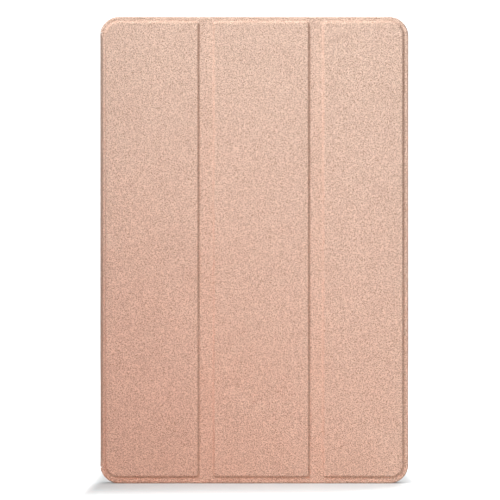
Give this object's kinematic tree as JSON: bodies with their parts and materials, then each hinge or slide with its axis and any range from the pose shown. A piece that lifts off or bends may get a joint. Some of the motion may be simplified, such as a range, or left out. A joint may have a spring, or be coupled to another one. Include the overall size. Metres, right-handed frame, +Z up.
{
  "type": "tablet computer in a folding cover",
  "caption": "Tablet computer in a closed tri-fold leather folio that opens like a book, with folding cover panels, press keys and a sliding card tray.",
  "frame": {"origin": "middle of the footprint, on the surface the closed folio stands on by its bottom edge", "axes": "+Z up along the long side, +X to the right seen from the cover, +Y from the cover's front to the folio's back"},
  "size_m": [0.1706, 0.012, 0.2579],
  "materials": {
    "cover_leather": "rose-gold metallic artificial leather with a fine sandy grain",
    "microfibre": "brushed microfibre lining",
    "fibre_board": "grey fibre board",
    "magnet": "nickel-plated",
    "shell_plastic": "satin rose polycarbonate",
    "housing_aluminium": "fine-blasted anodised",
    "front_glass": "polished cover glass",
    "display": "dark polariser",
    "backlight": "white light guide",
    "plate_metal": "rolled sheet",
    "steel": "satin",
    "battery_foil": "black laminated pouch",
    "circuit_board": "solder mask",
    "graphite": "graphite film",
    "flex_film": "polyimide film",
    "black_plastic": "moulded",
    "lens_glass": "coated lens window",
    "lamp_plastic": "diffusing lamp cap"
  },
  "bodies": {
    "tablet": {"back_shell": "shell_plastic", "back_skin": "cover_leather", "back_housing": "housing_aluminium", "cover_glass": "front_glass", "display_adhesive": "black_plastic", "display_panel": "display", "backlight_unit": "backlight", "mid_plate": "plate_metal", "plate_screws": "steel", "battery_cell_left": "battery_foil", "battery_cell_right": "battery_foil", "battery_board": "circuit_board", "main_board": "circuit_board", "port_board": "circuit_board", "graphite_sheet": "graphite", "shield_cans": "plate_metal", "main_ribbon": "flex_film", "display_flex": "flex_film", "side_key_flex": "flex_film", "usb_c_port": "steel", "speaker_boxes": "black_plastic", "speaker_meshes": "steel", "microphones": "plate_metal", "front_camera": "black_plastic", "rear_camera": "black_plastic", "camera_ring": "housing_aluminium", "camera_lens": "lens_glass", "flash_lamp": "lamp_plastic", "power_switch": "black_plastic", "volume_switches": "black_plastic", "card_reader": "steel", "hall_sensor": "black_plastic", "antennas": "circuit_board"},
    "spine": {"spine_skin": "cover_leather", "spine_board": "fibre_board", "spine_lining": "microfibre"},
    "panel_1": {"panel_1_skin": "cover_leather", "panel_1_board": "fibre_board", "panel_1_lining": "microfibre", "stand_magnets": "magnet"},
    "panel_2": {"panel_2_skin": "cover_leather", "panel_2_board": "fibre_board", "panel_2_lining": "microfibre"},
    "panel_3": {"panel_3_skin": "cover_leather", "panel_3_board": "fibre_board", "panel_3_lining": "microfibre", "closing_magnets": "magnet", "sleep_magnet": "magnet"},
    "power_button": {"power_button": "housing_aluminium"},
    "volume_rocker": {"volume_rocker": "housing_aluminium"},
    "card_tray": {"card_tray": "housing_aluminium"}
  },
  "joints": [
    {"name": "spine_fold", "type": "hinge", "parent": "tablet", "child": "spine", "pos_m": [-0.08465, 0.00535, 0.129], "axis": [0, 0, -1], "range_deg": [0, 90]},
    {"name": "cover_open", "type": "hinge", "parent": "spine", "child": "panel_1", "pos_m": [-0.08465, -0.00425, 0.129], "axis": [0, 0, -1], "range_deg": [0, 180]},
    {"name": "fold_1", "type": "hinge", "parent": "panel_1", "child": "panel_2", "pos_m": [-0.02655, -0.0049, 0.129], "axis": [0, 0, -1], "range_deg": [0, 110]},
    {"name": "fold_2", "type": "hinge", "parent": "panel_2", "child": "panel_3", "pos_m": [0.03425, -0.0049, 0.129], "axis": [0, 0, -1], "range_deg": [0, 145]},
    {"name": "power_press", "type": "slide", "parent": "tablet", "child": "power_button", "axis": [0, 0, -1], "range_m": [0, 0.00035], "stiffness_N_per_m": 1500},
    {"name": "volume_tilt", "type": "hinge", "parent": "tablet", "child": "volume_rocker", "pos_m": [0.081, 0.0004, 0.202], "axis": [0, 1, 0], "range_deg": [-2, 2], "stiffness_Nm_per_rad": 0.8},
    {"name": "card_tray_slide", "type": "slide", "parent": "tablet", "child": "card_tray", "axis": [1, 0, 0], "range_m": [0, 0.018]}
  ]
}
